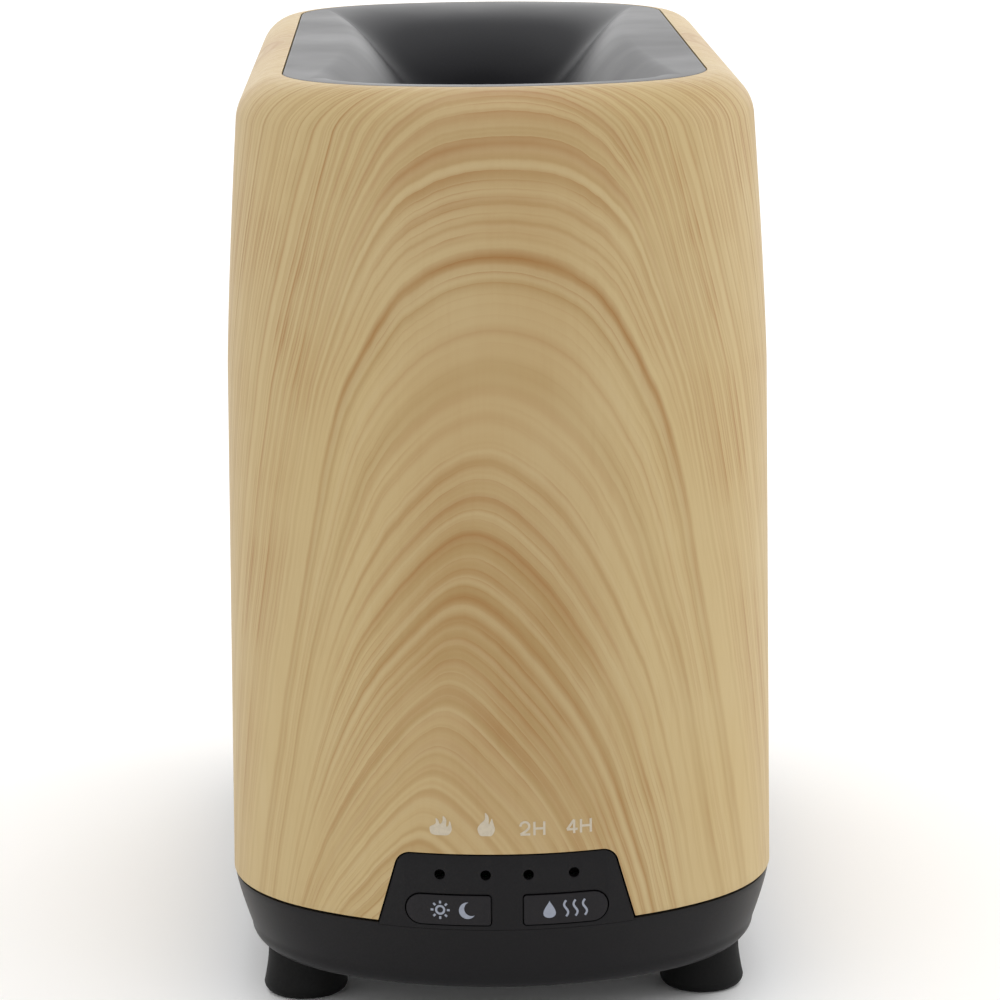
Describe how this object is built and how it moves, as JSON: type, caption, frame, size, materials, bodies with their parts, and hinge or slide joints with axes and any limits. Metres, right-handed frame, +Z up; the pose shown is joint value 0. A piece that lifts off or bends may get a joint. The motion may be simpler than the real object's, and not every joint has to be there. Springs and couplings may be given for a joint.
{
  "type": "essential oil diffuser",
  "caption": "Tall wood-look aroma diffuser with a lift-off cover, dished black top with a long mist slot, front push buttons, internal tank, fan and mist maker.",
  "frame": {"origin": "on the surface it stands on, under the middle of the body", "axes": "+Z up, -Y out of the end with the buttons, +X to the right when facing the buttons"},
  "size_m": [0.095, 0.1999, 0.161],
  "materials": {
    "wood_look": "satin wood-grain print on moulded plastic",
    "black_plastic": "fine matt black moulding",
    "key_plastic": "satin black moulding",
    "rubber": "matt black rubber",
    "silicone": "translucent grey silicone",
    "lead_insulation": "soft insulation of the internal leads",
    "ceramic": "silvered piezo ceramic",
    "clear_lens": "clear moulded plastic",
    "circuit_board": "green solder mask",
    "aluminium": "extruded aluminium",
    "ferrite": "ferrite core with enamelled winding",
    "steel": "plated steel"
  },
  "bodies": {
    "base": {"air_duct": "black_plastic", "base_pan": "black_plastic", "base_screw_1": "steel", "base_screw_2": "steel", "base_screw_3": "steel", "base_screw_4": "steel", "board_screw_1": "steel", "board_screw_2": "steel", "board_screw_3": "steel", "board_screw_4": "steel", "capacitor": "aluminium", "control_board": "circuit_board", "control_lead": "lead_insulation", "control_panel": "black_plastic", "fan_housing": "black_plastic", "fan_lead": "lead_insulation", "fan_screw_1": "steel", "fan_screw_2": "steel", "foot_front_left": "rubber", "foot_front_right": "rubber", "foot_rear_left": "rubber", "foot_rear_right": "rubber", "heat_sink": "aluminium", "indicator_led_1": "clear_lens", "indicator_led_2": "clear_lens", "indicator_led_3": "clear_lens", "indicator_led_4": "clear_lens", "inductor": "ferrite", "jack_pin": "steel", "lamp_board": "circuit_board", "lamp_lead": "lead_insulation", "lamp_screw_1": "steel", "lamp_screw_2": "steel", "light_lens": "clear_lens", "light_switch_body": "steel", "main_board": "circuit_board", "mist_switch_body": "steel", "power_jack": "black_plastic", "power_lead": "lead_insulation", "tank_body": "black_plastic", "transducer_disc": "ceramic", "transducer_lead": "lead_insulation", "transducer_retainer": "black_plastic", "transducer_seal": "silicone", "wire_header": "black_plastic"},
    "cover": {"outer_shell": "wood_look", "top_insert": "black_plastic", "mist_guide": "black_plastic", "guide_screw_1": "steel", "guide_screw_2": "steel"},
    "light_key": {"light_button": "key_plastic"},
    "mist_key": {"mist_button": "key_plastic"},
    "light_plunger": {"light_switch_plunger": "key_plastic"},
    "mist_plunger": {"mist_switch_plunger": "key_plastic"},
    "fan_rotor_body": {"fan_rotor": "black_plastic"}
  },
  "joints": [
    {"name": "cover_lift", "type": "slide", "parent": "base", "child": "cover", "axis": [0, 0, 1], "range_m": [0, 0.1]},
    {"name": "light_button_press", "type": "slide", "parent": "base", "child": "light_key", "axis": [0, 1, 0], "range_m": [0, 0.0006], "stiffness_N_per_m": 1500},
    {"name": "mist_button_press", "type": "slide", "parent": "base", "child": "mist_key", "axis": [0, 1, 0], "range_m": [0, 0.0006], "stiffness_N_per_m": 1500},
    {"name": "light_plunger_press", "type": "slide", "parent": "base", "child": "light_plunger", "axis": [0, 1, 0], "range_m": [0, 0.0006]},
    {"name": "mist_plunger_press", "type": "slide", "parent": "base", "child": "mist_plunger", "axis": [0, 1, 0], "range_m": [0, 0.0006]},
    {"name": "fan_spin", "type": "hinge", "parent": "base", "child": "fan_rotor_body", "pos_m": [0, 0.055, 0.0196], "axis": [0, 0, 1], "continuous": true}
  ],
  "couplings": [
    {"joint": "light_plunger_press", "follows": "light_button_press", "ratio": 1},
    {"joint": "mist_plunger_press", "follows": "mist_button_press", "ratio": 1}
  ]
}
